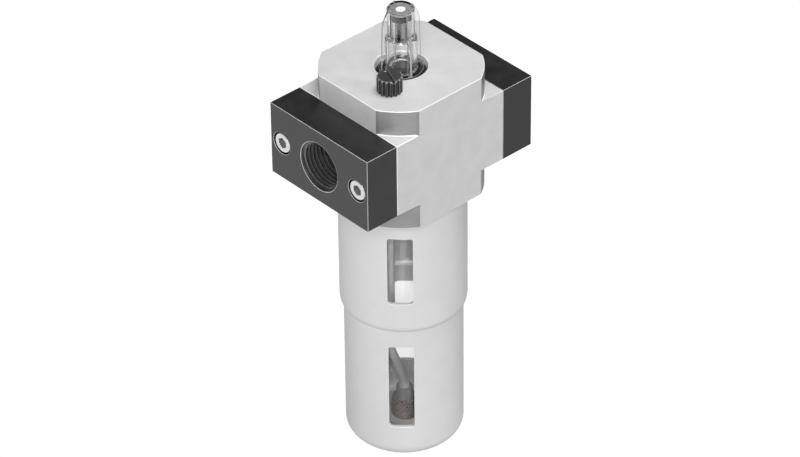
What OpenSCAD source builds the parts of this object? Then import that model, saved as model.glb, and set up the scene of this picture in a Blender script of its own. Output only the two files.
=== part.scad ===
// Air line lubricator: a die-cast housing between two threaded connecting plates,
// a clear oil bowl in a metal guard below it, and a sight dome and metering screw on top.
// Origin: the centre of the guard's flat base. +Z is up, and air flows along +X.

/* [Housing] */
// Width of the square housing, along and across the flow
body_w = 55; // [54:0.5:60]
// Height of the whole housing
body_h = 54; // [53:0.5:60]
// Height of the middle band, whose corners stay square
band_h = 32; // [30:0.5:36]
// Diameter on which the corners above and below the band are turned
corner_d = 63.6; // [61:0.2:68]
// Radius of the air passage through the housing
passage_r = 7; // [6:0.1:7.2]
// Radius of the wider mouth at each end of the passage
mouth_r = 9; // [8.5:0.1:9.5]
// Depth of that mouth
mouth_depth = 8; // [5:0.5:9]

/* [Connecting plates] */
// Thickness of a connecting plate
plate_t = 15; // [14:0.5:18]
// Wall radius of the tapped pipe hole
port_r = 9.316; // [9:0.05:9.6]
// Depth of the chamfer at the mouth of the pipe hole
port_chamfer = 1.2; // [0.6:0.1:1.6]

/* [Plate screws] */
// Distance between the two screws of a plate
screw_span = 42.7; // [41:0.1:43.5]
// Radius of a screw's thread
screw_r = 2.5; // [2.3:0.1:2.6]
// Length of a screw under its head
screw_len = 20; // [18:0.5:22]
// Radius of a screw's head
head_r = 4.25; // [4:0.05:4.5]
// Height of a screw's head
head_h = 5; // [4.5:0.1:5.5]
// Width of the hex socket across its flats
hex_af = 4; // [3.5:0.1:4.5]
// Depth of the hex socket
hex_depth = 2.6; // [2:0.1:3]

/* [Plate seals] */
// Radius of the middle of a plate seal
seal_mid_r = 12; // [11.6:0.1:13]
// Radius of a plate seal's round section
seal_sec_r = 1; // [0.8:0.05:1.1]
// Depth of a plate seal's groove
seal_depth = 1.7; // [1.5:0.05:1.8]

/* [Guard] */
// Length of the guard below the housing
guard_len = 119; // [115:1:130]
// Outer radius of the guard's upper part
guard_r = 25.3; // [25:0.1:26]
// Outer radius of the guard's lower part
guard_low_r = 23.7; // [23.5:0.1:24.2]
// Thickness of the guard's wall
guard_wall = 1.6; // [1.3:0.1:1.7]
// Height of the crease under the guard's shoulder
crease_z = 63.6; // [60:0.2:68]
// Height of the guard's rounded shoulder
shoulder_h = 3.2; // [2:0.2:6]
// Radius of the round edge at the guard's foot
foot_round = 5.5; // [4.5:0.1:7]
// Radius of the guard's threaded neck
neck_r = 23.6; // [23.5:0.05:23.8]
// Height of the threaded neck
neck_h = 7.2; // [6:0.2:8]
// Thickness of the neck's wall
neck_wall = 1.3; // [1.2:0.05:1.4]

/* [Guard windows] */
// Width of a window
window_w = 10; // [8:0.2:12]
// Radius of a window's corners
window_round = 1.3; // [0.8:0.1:2]
// Height of the upper windows
upper_window_h = 31.2; // [26:0.2:34]
// Distance from the guard's top to the upper windows
upper_window_drop = 10; // [8:0.2:14]
// Height of the lower windows
lower_window_h = 39.7; // [34:0.2:42]
// Height of the lower windows' sill
lower_window_z = 15.7; // [12:0.2:20]
// Direction of the front windows about the axis, in degrees
window_turn = -135; // [-140:1:-130]

/* [Bowl] */
// Outer radius of the bowl at its neck
bowl_top_r = 22; // [21.8:0.05:22]
// Outer radius of the bowl at its foot
bowl_foot_r = 21.3; // [21:0.05:21.5]
// Thickness of the bowl's wall
bowl_wall = 2.3; // [2:0.05:2.4]
// Radius of the round edge at the bowl's foot
bowl_round = 5; // [4.5:0.1:6]
// Gap between the floor of the guard and the bowl
bowl_lift = 0.6; // [0.4:0.1:1]
// Thickness of the flange that the guard clamps
flange_h = 2; // [1.6:0.1:2.4]
// Height of the rim above the flange
rim_h = 4; // [3.5:0.1:4.4]
// Radius of the bowl seal's round section
bowl_seal_r = 0.93; // [0.85:0.01:1]
// Thickness of the slip ring between guard and bowl
slip_h = 1; // [0.8:0.1:1.2]

/* [Sight dome] */
// Height of the dome above the housing
dome_h = 26; // [24:0.5:28]
// Radius of the dome's flat top
dome_top_r = 5.35; // [5.2:0.05:5.6]
// Radius of the dome's lower body
dome_low_r = 6.3; // [6.1:0.05:6.8]
// Outer radius of the four finger wings at their foot
wing_r = 8.4; // [8:0.1:9.2]
// How far a wing leans in from its foot to where it curves
wing_lean = 0.4; // [0:0.1:0.8]
// Thickness of a wing
wing_t = 0.8; // [0.6:0.1:1.2]
// Height over which a wing curves in to the dome's top
wing_curve = 8; // [6:0.5:10]
// Direction of the first wing about the axis, in degrees
wing_turn = -15; // [-45:5:45]
// Radius of the dome's thread
dome_thread_r = 8; // [7.8:0.1:8.2]
// Depth of the dome's thread below the recess
dome_thread_h = 6.8; // [6:0.2:7.4]
// Radius of the recess around the dome
recess_r = 10.3; // [10:0.1:11]
// Depth of the recess
recess_h = 3.2; // [2.8:0.1:3.6]
// Outer radius of the metal drip sleeve in the dome
sleeve_r = 4.25; // [4:0.05:4.3]
// Length of the drip sleeve
sleeve_len = 11.8; // [10.5:0.1:12.5]
// Radius of the white drip nozzle
nozzle_r = 1.8; // [1.5:0.1:2]

/* [Metering screw] */
// Distance of the metering screw from the housing's inlet face
meter_inset = 12.5; // [11.5:0.1:13]
// Place of the metering screw across the flow, from the axis
meter_y = -10; // [-11:0.1:-9.8]
// Radius of the knurled knob
knob_r = 5; // [4.5:0.1:5.5]
// Height of the knob's top above the housing
knob_h = 7; // [6.5:0.1:9]
// Number of flutes around the knob
knob_flutes = 16; // [14:1:20]
// Radius of the needle's thread
needle_r = 3; // [2.8:0.05:3.2]

/* [Oil riser] */
// Outer radius of the riser tube
tube_r = 2; // [1.8:0.05:2]
// Bore radius of the riser tube
tube_bore = 1.3; // [1.1:0.05:1.35]
// Distance of the tube's straight part from the axis
tube_reach = 16.4; // [16:0.1:16.5]
// Direction of the tube about the axis, in degrees
tube_turn = -151; // [-152:0.1:-148]
// Height at which the tube turns towards the axis
tube_bend_z = 49; // [46:0.5:60]
// Height at which the tube has come to the axis
tube_foot_z = 22.4; // [22.2:0.1:26]
// Outer radius of the strainer
strainer_r = 5; // [4.6:0.1:5.5]
// Radius of the foot valve's ball
riser_ball_r = 1.5; // [1.45:0.01:1.55]

/* [Bowl pressure valve] */
// Place of the valve along the flow, from the axis
valve_x = -11; // [-11.5:0.1:-10]
// Outer radius of the valve's cage
cage_r = 3; // [2.8:0.05:3.2]
// Radius of the valve's ball
valve_ball_r = 1.6; // [1.5:0.01:1.65]
// Number of turns of the valve's spring
spring_turns = 7; // [5:1:9]
// Radius of the spring's wire
wire_r = 0.17; // [0.14:0.01:0.2]

/* [Hidden] */
$fn = 96;
// A cut runs past the face that it opens by this much
over = 1;
// Radial clearances: a running fit, a screwed fit and loose parts
run_gap = 0.05;
thread_gap = 0.08;
loose_gap = 0.3;

// Heights of the housing
port_z = guard_len + body_h / 2;
under_z = guard_len;
top_z = guard_len + body_h;
half_w = body_w / 2;

// Plate screws
head_sink = 0.2;
head_gap = 0.5;
screw_gap = 0.25;
screw_hole_depth = 12;
screw_chamfer = 0.5;
hex_r = hex_af / 2 / cos(30);
head_edge = 0.4;
plate_face = half_w + plate_t;
port_mouth_r = port_r + port_chamfer;

// Socket for the guard and the bowl, from the guard's neck upwards
guard_play = 0.2;
neck_top = under_z + neck_h - guard_play;
flange_z = neck_top + slip_h;
flange_top = flange_z + flange_h;
seal_squeeze = 0.05;
socket_top = flange_top + 2 * bowl_seal_r - 2 * seal_squeeze + run_gap;
rim_top = flange_top + rim_h;
rim_gap = 1;
roof_z = rim_top + rim_gap;
rim_step = 0.7;
rim_r = bowl_top_r - rim_step;
rim_wall = 1.6;
flange_r = neck_r - loose_gap;

// Guard
guard_top = under_z - guard_play;
neck_root = guard_top - guard_wall;
guard_in_r = guard_r - guard_wall;
guard_low_in_r = guard_low_r - guard_wall;
neck_in_r = neck_r - neck_wall;
arc_steps = 10;
upper_window_z = under_z - upper_window_drop - upper_window_h;

// Bowl
bowl_z = guard_wall + bowl_lift;
bowl_neck_drop = 1;
bowl_neck_z = neck_root - bowl_neck_drop;

// Sight dome and what is inside it
dome_top = top_z + dome_h;
recess_z = top_z - recess_h;
dome_skirt_z = recess_z - dome_thread_h;
chamber_drop = 3;
chamber_z = dome_skirt_z - chamber_drop;
dome_seal_h = 1.4;
dome_flange_z = recess_z + dome_seal_h;
dome_flange_h = 1.2;
dome_flange_over = 0.6;
dome_flange_r = dome_thread_r + dome_flange_over;
wing_waist_r = wing_r - wing_lean;
dome_wall = 1.3;
dome_roof = 1.3;
dome_neck_drop = 0.6;
dome_neck_z = top_z - dome_neck_drop;
skirt_wall = 1.8;
skirt_in_r = dome_thread_r - skirt_wall;
sleeve_top = dome_top - dome_roof - 2 * run_gap;
sleeve_z = sleeve_top - sleeve_len;
sleeve_wall = 0.8;
sleeve_plate = 1;
sleeve_groove_drop = 2.8;
sleeve_groove_z = sleeve_top - sleeve_groove_drop;
sleeve_groove_h = 1.8;
sleeve_groove_d = 0.6;
sleeve_step_gap = 0.2;
sleeve_step_z = sleeve_z - sleeve_step_gap;
step_slope = 2.2;
top_edge = 0.4;
wings = 4;
nozzle_bore = 0.5;
nozzle_len = 8;
nozzle_lip = 0.8;
nozzle_lip_h = 0.8;

// Drip jet between the dome's chamber and the passage
jet_r = 2;
jet_bore = 1;
jet_lip_r = 3.8;
jet_lip_h = 1.2;
jet_dip = 2.5;

// Flow insert, damper flap and retaining ring in the passage
insert_half = 9;
throat_r = 4.6;
insert_mouth_r = 6.1;
flap_t = 0.8;
flap_ring = 1.2;
flap_hinge_w = 3;
flap_play = 0.8;
retainer_t = 1.2;
retainer_wall = 1.4;

// Metering screw
meter_x = meter_inset - half_w;
meter_turn = atan2(meter_y, meter_x);
meter_depth = 13;
meter_floor = top_z - meter_depth;
meter_chamber_r = 2.2;
meter_chamber_h = 3;
seat_z = meter_floor - meter_chamber_h;
seat_r = 0.8;
seat_h = 2.5;
seat_gap = 0.03;
needle_tip_r = 0.45;
needle_tip_len = 1.2;
needle_tip_z = seat_z - needle_tip_len;
needle_lift = 1;
needle_thread_z = meter_floor + needle_lift;
needle_taper = (seat_r - seat_gap - needle_tip_r) / (seat_z - needle_tip_z);
needle_cone_r = needle_tip_r + needle_taper * (needle_thread_z - needle_tip_z);
meter_groove_drop = 5;
meter_groove_z = top_z - meter_groove_drop;
meter_groove_h = 2;
meter_groove_d = 0.9;
collar_sink = 0.4;
needle_collar_z = top_z - collar_sink;
stem_r = 2;
stem_gap = 0.1;
knob_gap = 0.3;
knob_z = top_z + knob_gap;
knob_top = top_z + knob_h;
knob_edge = 0.5;
slot_w = 1.1;
slot_d = 1;
slot_turn = 69;
slot_floor = 0.5;
stem_top = knob_top - slot_d - slot_floor;
flute_r = 0.6;

// Oil drillings
drill_r = 1.1;
feed_r = 0.9;
feed_z = meter_floor - meter_chamber_h / 2;
feed_rise = 1.4;
feed_end_z = chamber_z + feed_rise;
feed_end_reach = dome_thread_r - over;

// Riser tube, foot valve and strainer
tube_sides = 12;
tube_socket = 6;
tube_play = 0.5;
tube_top = roof_z + tube_socket - tube_play;
tube_bend = 6;
bend_steps = 5;
tube_end = 14;
foot_gap = 0.02;
foot_wall = 1.4;
foot_r = tube_r + foot_wall;
foot_hold = 5;
foot_top = tube_end + foot_hold;
foot_chamber_h = 3;
foot_room = 0.4;
foot_chamber_r = riser_ball_r + foot_room;
foot_seat_z = tube_end - foot_chamber_h;
foot_seat_r = 1;
foot_floor = 2;
foot_z = foot_seat_z - foot_floor;
ball_gap = 0.02;
riser_ball_z = foot_seat_z + sqrt(pow(riser_ball_r, 2) - pow(foot_seat_r, 2)) + ball_gap;
strainer_z = 5.5;
strainer_floor = 2;
strainer_step = 0.45;

// Bowl pressure valve
valve_seat_r = 1.2;
valve_seat_rise = 3.6;
valve_seat_z = roof_z + valve_seat_rise;
cage_drop = 8;
cage_z = roof_z - cage_drop;
cage_gap = 0.6;
cage_top = valve_seat_z - cage_gap;
cage_floor = 1.2;
cage_room = 0.3;
cage_bore = valve_ball_r + cage_room;
vent_r = 0.8;
valve_ball_z = valve_seat_z - sqrt(pow(valve_ball_r, 2) - pow(valve_seat_r, 2)) - 2 * ball_gap;
spring_inset = 0.35;
spring_mid_r = valve_ball_r - spring_inset;
spring_z = cage_z + cage_floor + wire_r;
spring_top = valve_ball_z - sqrt(pow(valve_ball_r + wire_r, 2) - pow(spring_mid_r, 2)) - ball_gap;
spring_sides = 6;
spring_steps = 12;

// A round bar between two points
module bar(from, to, r) {
    way = to - from;
    flat = sqrt(pow(way[0], 2) + pow(way[1], 2));
    translate(from)
        rotate([0, atan2(flat, way[2]), atan2(way[1], way[0])])
            cylinder(r = r, h = norm(way));
}

// A ring between two radii
module ring(r_out, r_in, h) {
    difference() {
        cylinder(r = r_out, h = h);
        translate([0, 0, -over]) cylinder(r = r_in, h = h + 2 * over);
    }
}

// A seal ring whose round section is pressed flat to a height
module pressed_ring(mid_r, section_r, h) {
    rotate_extrude()
        translate([mid_r, h / 2])
            intersection() {
                circle(r = section_r);
                square([3 * section_r, h], center = true);
            }
}

// A point on a circle, for the profiles' rounded corners
function on_circle(centre, r, angle) = centre + r * [cos(angle), sin(angle)];

// The quarter round from straight down to straight out
function foot_arc(centre, r) = [for (i = [0 : arc_steps]) on_circle(centre, r, -90 + 90 * i / arc_steps)];

// The same, from straight out to straight down
function foot_arc_back(centre, r) = [for (i = [0 : arc_steps]) on_circle(centre, r, -90 * i / arc_steps)];

// Faces of a chain of closed rings, all with the same number of points
function skin_faces(rings, sides) = [
    for (i = [0 : rings - 2]) for (j = [0 : sides - 1])
        [i * sides + j, i * sides + (j + 1) % sides, (i + 1) * sides + (j + 1) % sides, (i + 1) * sides + j]
];

module at_port(side) {
    translate([0, 0, port_z]) rotate([0, side * 90, 0]) children();
}

module at_screws() {
    for (s = [-1, 1]) translate([0, s * screw_span / 2, 0]) children();
}

module housing_block() {
    translate([0, 0, port_z]) cube([body_w, body_w, band_h], center = true);
    intersection() {
        translate([0, 0, port_z]) cube([body_w, body_w, body_h], center = true);
        translate([0, 0, under_z]) cylinder(d = corner_d, h = body_h);
    }
}

// The air passage, and what the plates need at each end face
module passage_cuts() {
    translate([-half_w - over, 0, port_z]) rotate([0, 90, 0])
        cylinder(r = passage_r, h = body_w + 2 * over);
    for (side = [-1, 1]) at_port(side) {
        translate([0, 0, half_w - mouth_depth]) cylinder(r = mouth_r, h = mouth_depth + over);
        translate([0, 0, half_w - seal_depth])
            ring(seal_mid_r + seal_sec_r + run_gap, seal_mid_r - seal_sec_r - run_gap, seal_depth + over);
        at_screws() translate([0, 0, half_w - screw_hole_depth])
            cylinder(r = screw_r + run_gap, h = screw_hole_depth + over);
    }
}

// The threaded socket for the guard, and the smooth one for the bowl's rim above it
module socket_cuts() {
    translate([0, 0, under_z - over]) cylinder(r = neck_r + thread_gap, h = socket_top - under_z + over);
    translate([0, 0, under_z]) cylinder(r = rim_r + run_gap, h = roof_z - under_z);
}

// Oil's way from the riser tube to the needle, and on to the sight dome
module oil_cuts() {
    foot = [tube_reach * cos(tube_turn), tube_reach * sin(tube_turn)];
    translate([foot[0], foot[1], roof_z - over]) cylinder(r = tube_r + foot_gap, h = tube_socket + over);
    bar([foot[0], foot[1], tube_top], [meter_x, meter_y, seat_z - seat_h + feed_r], drill_r);
    translate([meter_x, meter_y, 0]) {
        translate([0, 0, seat_z - seat_h]) cylinder(r = seat_r, h = seat_h + over);
        translate([0, 0, seat_z]) cylinder(r = meter_chamber_r, h = meter_chamber_h + over);
        translate([0, 0, meter_floor]) cylinder(r = needle_r + run_gap, h = top_z - meter_floor + over);
    }
    bar([meter_x, meter_y, feed_z],
        [feed_end_reach * cos(meter_turn), feed_end_reach * sin(meter_turn), feed_end_z], feed_r);
}

module dome_cuts() {
    translate([0, 0, recess_z]) cylinder(r = recess_r, h = recess_h + over);
    translate([0, 0, chamber_z]) cylinder(r = dome_thread_r + run_gap, h = top_z - chamber_z);
    translate([0, 0, port_z]) cylinder(r = jet_r + foot_gap, h = chamber_z - port_z + over);
}

module valve_cuts() {
    translate([valve_x, 0, roof_z - over])
        cylinder(r = cage_r + foot_gap, h = valve_seat_rise + over);
    translate([valve_x, 0, roof_z]) cylinder(r = valve_seat_r, h = port_z - roof_z);
}

module housing() {
    color([0.8, 0.8, 0.79]) difference() {
        housing_block();
        passage_cuts();
        socket_cuts();
        oil_cuts();
        dome_cuts();
        valve_cuts();
    }
}

module plate(side) {
    color([0.14, 0.14, 0.15]) at_port(side) difference() {
        translate([0, 0, half_w + plate_t / 2]) cube([band_h, body_w, plate_t], center = true);
        translate([0, 0, half_w - over]) cylinder(r = port_r, h = plate_t + 2 * over);
        translate([0, 0, plate_face - port_chamfer])
            cylinder(r1 = port_r, r2 = port_mouth_r, h = port_chamfer);
        at_screws() {
            translate([0, 0, half_w - over]) cylinder(r = screw_r + screw_gap, h = plate_t);
            translate([0, 0, plate_face - head_h - head_sink])
                cylinder(r = head_r + head_gap, h = head_h + head_sink + over);
        }
    }
}

module inlet_plate() { plate(-1); }
module outlet_plate() { plate(1); }

// The two socket head screws of one plate
module plate_screws(side) {
    color([0.78, 0.78, 0.76])
        at_port(side) at_screws() translate([0, 0, plate_face - head_sink]) difference() {
        union() {
            translate([0, 0, -head_h]) cylinder(r = head_r, h = head_h - head_edge);
            translate([0, 0, -head_edge]) cylinder(r1 = head_r, r2 = head_r - head_edge, h = head_edge);
            translate([0, 0, -head_h - screw_len + screw_chamfer]) cylinder(r = screw_r, h = screw_len);
            translate([0, 0, -head_h - screw_len])
                cylinder(r1 = screw_r - screw_chamfer, r2 = screw_r, h = screw_chamfer);
        }
        translate([0, 0, -hex_depth]) cylinder(r = hex_r, h = hex_depth + over, $fn = 6);
    }
}

module inlet_plate_screws() { plate_screws(-1); }
module outlet_plate_screws() { plate_screws(1); }

module plate_seal(side) {
    color([0.1, 0.1, 0.1]) at_port(side) translate([0, 0, half_w - seal_depth])
        pressed_ring(seal_mid_r, seal_sec_r, seal_depth);
}

module inlet_plate_seal() { plate_seal(-1); }
module outlet_plate_seal() { plate_seal(1); }

// A sleeve with a narrow throat, where the air draws the oil in
module flow_insert() {
    color([0.85, 0.84, 0.78]) difference() {
        translate([0, 0, port_z]) rotate([0, 90, 0]) rotate_extrude()
            polygon([
                [insert_mouth_r, -insert_half], [passage_r - run_gap, -insert_half],
                [passage_r - run_gap, insert_half], [insert_mouth_r, insert_half],
                [throat_r, jet_r], [throat_r, -jet_r]
            ]);
        translate([0, 0, port_z]) cylinder(r = jet_r + 4 * run_gap, h = passage_r + over);
    }
}

// A rubber disc that hangs in its ring from one bridge and bends open with the flow
module damper_flap() {
    flap_r = insert_mouth_r - flap_play;
    color([0.12, 0.12, 0.12]) translate([insert_half, 0, port_z]) rotate([0, 90, 0]) {
        ring(passage_r - run_gap, passage_r - flap_ring, flap_t);
        intersection() {
            cylinder(r = passage_r - 2 * run_gap, h = flap_t);
            union() {
                cylinder(r = flap_r - flap_play, h = flap_t);
                translate([-passage_r, -flap_hinge_w / 2, 0]) cube([passage_r, flap_hinge_w, flap_t]);
            }
        }
    }
}

module flap_retainer() {
    color([0.6, 0.6, 0.6]) translate([insert_half + flap_t, 0, port_z]) rotate([0, 90, 0])
        ring(passage_r - run_gap, passage_r - retainer_wall, retainer_t);
}

// A brass funnel that takes the drops down into the throat
module drip_jet() {
    color([0.75, 0.6, 0.3]) rotate_extrude() polygon([
        [jet_bore, port_z + passage_r - jet_dip], [jet_r, port_z + passage_r - jet_dip],
        [jet_r, chamber_z], [jet_lip_r, chamber_z], [jet_lip_r, chamber_z + jet_lip_h],
        [jet_r, chamber_z + jet_lip_h], [jet_bore, chamber_z]
    ]);
}

// Half section of the clear dome, outside and inside
function dome_profile() = [
    [skirt_in_r, dome_skirt_z], [dome_thread_r, dome_skirt_z], [dome_thread_r, dome_flange_z],
    [dome_flange_r, dome_flange_z], [dome_flange_r, dome_flange_z + dome_flange_h],
    [dome_low_r, dome_flange_z + dome_flange_h], [dome_low_r, sleeve_step_z],
    [dome_top_r, sleeve_step_z + step_slope], [dome_top_r, dome_top - top_edge],
    [dome_top_r - top_edge, dome_top], [0, dome_top], [0, dome_top - dome_roof],
    [sleeve_r + run_gap, dome_top - dome_roof], [sleeve_r + run_gap, sleeve_step_z],
    [dome_low_r - dome_wall, sleeve_step_z], [dome_low_r - dome_wall, dome_neck_z],
    [skirt_in_r, dome_flange_z]
];

// One wing: leaning in a little from the flange, then curving in to the rim of the dome's top
function wing_profile() = concat(
    [[dome_low_r - dome_wall / 2, dome_flange_z], [wing_r, dome_flange_z]],
    [for (i = [0 : arc_steps]) let (t = i / arc_steps)
        [wing_waist_r - (wing_waist_r - dome_top_r) * pow(t, 2), dome_top - wing_curve * (1 - t)]],
    [[sleeve_r + dome_wall / 2, dome_top], [sleeve_r + dome_wall / 2, sleeve_step_z + step_slope],
        [dome_low_r - dome_wall / 2, sleeve_step_z]]
);

module sight_dome() {
    color([0.85, 0.88, 0.9, 0.5]) {
        rotate_extrude() polygon(dome_profile());
        for (i = [0 : wings - 1]) rotate([0, 0, wing_turn + 360 / wings * i])
            translate([0, wing_t / 2, 0]) rotate([90, 0, 0]) linear_extrude(wing_t) polygon(wing_profile());
    }
}

module dome_seal() {
    color([0.08, 0.08, 0.08]) translate([0, 0, recess_z])
        pressed_ring(dome_thread_r + run_gap + dome_seal_h / 2, dome_seal_h / 2,
            dome_seal_h - seal_squeeze);
}

// A plated sleeve with a top plate that holds the nozzle, and a groove for its seal
module drip_sleeve() {
    color([0.55, 0.56, 0.58]) rotate_extrude() polygon([
        [sleeve_r - sleeve_wall, sleeve_z], [sleeve_r, sleeve_z], [sleeve_r, sleeve_groove_z],
        [sleeve_r - sleeve_groove_d, sleeve_groove_z],
        [sleeve_r - sleeve_groove_d, sleeve_groove_z + sleeve_groove_h],
        [sleeve_r, sleeve_groove_z + sleeve_groove_h], [sleeve_r, sleeve_top],
        [nozzle_r + foot_gap, sleeve_top], [nozzle_r + foot_gap, sleeve_top - sleeve_plate],
        [sleeve_r - sleeve_groove_d - sleeve_wall, sleeve_top - sleeve_plate],
        [sleeve_r - sleeve_groove_d - sleeve_wall, sleeve_groove_z - sleeve_wall],
        [sleeve_r - sleeve_wall, sleeve_groove_z - sleeve_wall]
    ]);
}

module drip_sleeve_seal() {
    color([0.08, 0.08, 0.08]) translate([0, 0, sleeve_groove_z])
        ring(sleeve_r + run_gap / 2, sleeve_r - sleeve_groove_d, sleeve_groove_h);
}

module drip_nozzle() {
    color([0.95, 0.95, 0.93]) rotate_extrude() polygon([
        [nozzle_bore, sleeve_top - nozzle_len], [nozzle_r - nozzle_bore, sleeve_top - nozzle_len],
        [nozzle_r, sleeve_top - nozzle_len / 2], [nozzle_r, sleeve_top - sleeve_plate - nozzle_lip_h],
        [nozzle_r + nozzle_lip, sleeve_top - sleeve_plate - nozzle_lip_h],
        [nozzle_r + nozzle_lip, sleeve_top - sleeve_plate], [nozzle_r, sleeve_top - sleeve_plate],
        [nozzle_r, sleeve_top], [nozzle_bore, sleeve_top]
    ]);
}

// A fluted knob with a screwdriver slot across its top
module metering_knob() {
    color([0.09, 0.09, 0.1]) translate([meter_x, meter_y, 0]) difference() {
        union() {
            translate([0, 0, knob_z]) cylinder(r = knob_r, h = knob_top - knob_z - knob_edge);
            translate([0, 0, knob_top - knob_edge])
                cylinder(r1 = knob_r, r2 = knob_r - knob_edge, h = knob_edge);
        }
        for (i = [0 : knob_flutes - 1]) rotate([0, 0, 360 / knob_flutes * i])
            translate([knob_r, 0, knob_z - over]) cylinder(r = flute_r, h = knob_h + 2 * over);
        translate([0, 0, knob_z - over])
            cylinder(r = stem_r + foot_gap, h = stem_top - knob_z + stem_gap + over);
        rotate([0, 0, slot_turn]) translate([-knob_r - over, -slot_w / 2, knob_top - slot_d])
            cube([2 * (knob_r + over), slot_w, slot_d + over]);
    }
}

module metering_needle() {
    groove_in_r = needle_r - meter_groove_d;
    groove_top = meter_groove_z + meter_groove_h;
    color([0.78, 0.63, 0.32]) translate([meter_x, meter_y, 0]) rotate_extrude() polygon([
        [0, needle_tip_z], [needle_tip_r, needle_tip_z], [needle_cone_r, needle_thread_z],
        [needle_r, needle_thread_z], [needle_r, meter_groove_z], [groove_in_r, meter_groove_z],
        [groove_in_r, groove_top], [needle_r, groove_top],
        [needle_r, needle_collar_z], [stem_r, needle_collar_z], [stem_r, stem_top], [0, stem_top]
    ]);
}

module metering_seal() {
    color([0.08, 0.08, 0.08]) translate([meter_x, meter_y, meter_groove_z + seal_squeeze])
        ring(needle_r + foot_gap, needle_r - meter_groove_d, meter_groove_h - 2 * seal_squeeze);
}

// The riser tube's route, as distance from the axis and height: down, in to the axis, and down
tube_route = [[tube_reach, tube_top], [tube_reach, tube_bend_z], [0, tube_foot_z], [0, tube_end]];

// A soft bend about the middle one of three points
function bend(a, b, c, reach) =
    let (from = b + reach * (a - b) / norm(a - b), to = b + reach * (c - b) / norm(c - b))
    [for (i = [0 : bend_steps]) let (t = i / bend_steps)
        (1 - t) * (1 - t) * from + 2 * t * (1 - t) * b + t * t * to];

tube_path = concat(
    [tube_route[0]],
    bend(tube_route[0], tube_route[1], tube_route[2], tube_bend),
    bend(tube_route[1], tube_route[2], tube_route[3], tube_bend / 2),
    [tube_route[3]]
);

// Direction of the route at one of its points
function path_way(p, i) =
    let (a = p[max(i - 1, 0)], b = p[min(i + 1, len(p) - 1)]) (b - a) / norm(b - a);

// A ring of points about one point of the route, square to the way it runs
function path_ring(p, i, r) =
    let (w = i == 0 || i == len(p) - 1 ? [0, -1] : path_way(p, i))
    [for (j = [0 : tube_sides - 1]) let (a = 360 / tube_sides * j)
        [p[i][0] - w[1] * r * cos(a), r * sin(a), p[i][1] + w[0] * r * cos(a)]];

module riser_tube() {
    rings = len(tube_path);
    // The outside runs down the route and the inside runs back up, closed to its start
    points = concat(
        [for (i = [0 : rings - 1]) each path_ring(tube_path, i, tube_r)],
        [for (i = [rings - 1 : -1 : 0]) each path_ring(tube_path, i, tube_bore)]);
    last = 2 * rings - 1;
    closing = [for (j = [0 : tube_sides - 1])
        [last * tube_sides + j, last * tube_sides + (j + 1) % tube_sides, (j + 1) % tube_sides, j]];
    color([0.8, 0.8, 0.78]) rotate([0, 0, tube_turn])
        polyhedron(points = points, faces = concat(skin_faces(2 * rings, tube_sides), closing));
}

// The foot of the riser, with a seat under its ball
module foot_valve() {
    color([0.3, 0.3, 0.32]) rotate_extrude() polygon([
        [foot_seat_r, foot_z], [foot_r, foot_z], [foot_r, foot_top], [tube_r + foot_gap, foot_top],
        [tube_r + foot_gap, tube_end], [foot_chamber_r, tube_end], [foot_chamber_r, foot_seat_z],
        [foot_seat_r, foot_seat_z]
    ]);
}

module riser_ball() {
    color([0.8, 0.8, 0.8]) translate([0, 0, riser_ball_z]) sphere(r = riser_ball_r);
}

// A sintered cap pushed over the foot valve
module strainer() {
    color([0.62, 0.5, 0.3]) rotate_extrude() polygon([
        [0, strainer_z], [strainer_r, strainer_z], [strainer_r, tube_end], [foot_r + run_gap, tube_end],
        [foot_r + run_gap, foot_z], [foot_r - strainer_step, foot_z],
        [foot_r - strainer_step, strainer_z + strainer_floor], [0, strainer_z + strainer_floor]
    ]);
}

// A brass cage in the housing's roof that holds the spring under its ball
module valve_cage() {
    color([0.75, 0.6, 0.3]) translate([valve_x, 0, 0]) rotate_extrude() polygon([
        [vent_r, cage_z], [cage_r, cage_z], [cage_r, cage_top], [cage_bore, cage_top],
        [cage_bore, cage_z + cage_floor], [vent_r, cage_z + cage_floor]
    ]);
}

module valve_ball() {
    color([0.8, 0.8, 0.8]) translate([valve_x, 0, valve_ball_z]) sphere(r = valve_ball_r);
}

// A coil spring, swept along its helix
module valve_spring() {
    rings = spring_turns * spring_steps + 1;
    rise = (spring_top - spring_z) / (rings - 1);
    points = [for (i = [0 : rings - 1]) let (turn = 360 / spring_steps * i)
        for (j = [0 : spring_sides - 1])
            let (a = 360 / spring_sides * j, r = spring_mid_r + wire_r * cos(a))
                [r * cos(turn), r * sin(turn), spring_z + rise * i + wire_r * sin(a)]];
    first = [for (j = [0 : spring_sides - 1]) spring_sides - 1 - j];
    last = [for (j = [0 : spring_sides - 1]) (rings - 1) * spring_sides + j];
    skin = [for (f = skin_faces(rings, spring_sides)) [f[3], f[2], f[1], f[0]]];
    color([0.7, 0.7, 0.7]) translate([valve_x, 0, 0])
        polyhedron(points = points, faces = concat(skin, [[for (k = first) k]], [last]));
}

// The clear bowl: a slightly tapered cup with a clamped flange and a rim above it
module bowl() {
    in_foot = bowl_foot_r - bowl_wall;
    in_round = bowl_round - bowl_wall / 2;
    color([0.8, 0.84, 0.86, 0.5]) rotate_extrude() polygon(concat(
        [[0, bowl_z]],
        foot_arc([bowl_foot_r - bowl_round, bowl_z + bowl_round], bowl_round),
        [
            [bowl_top_r, bowl_neck_z], [bowl_top_r, flange_z], [flange_r, flange_z], [flange_r, flange_top],
            [rim_r, flange_top], [rim_r, rim_top],
            [rim_r - rim_wall, rim_top], [rim_r - rim_wall, bowl_neck_z]
        ],
        foot_arc_back([in_foot - in_round, bowl_z + bowl_wall + in_round], in_round),
        [[0, bowl_z + bowl_wall]]
    ));
}

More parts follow.
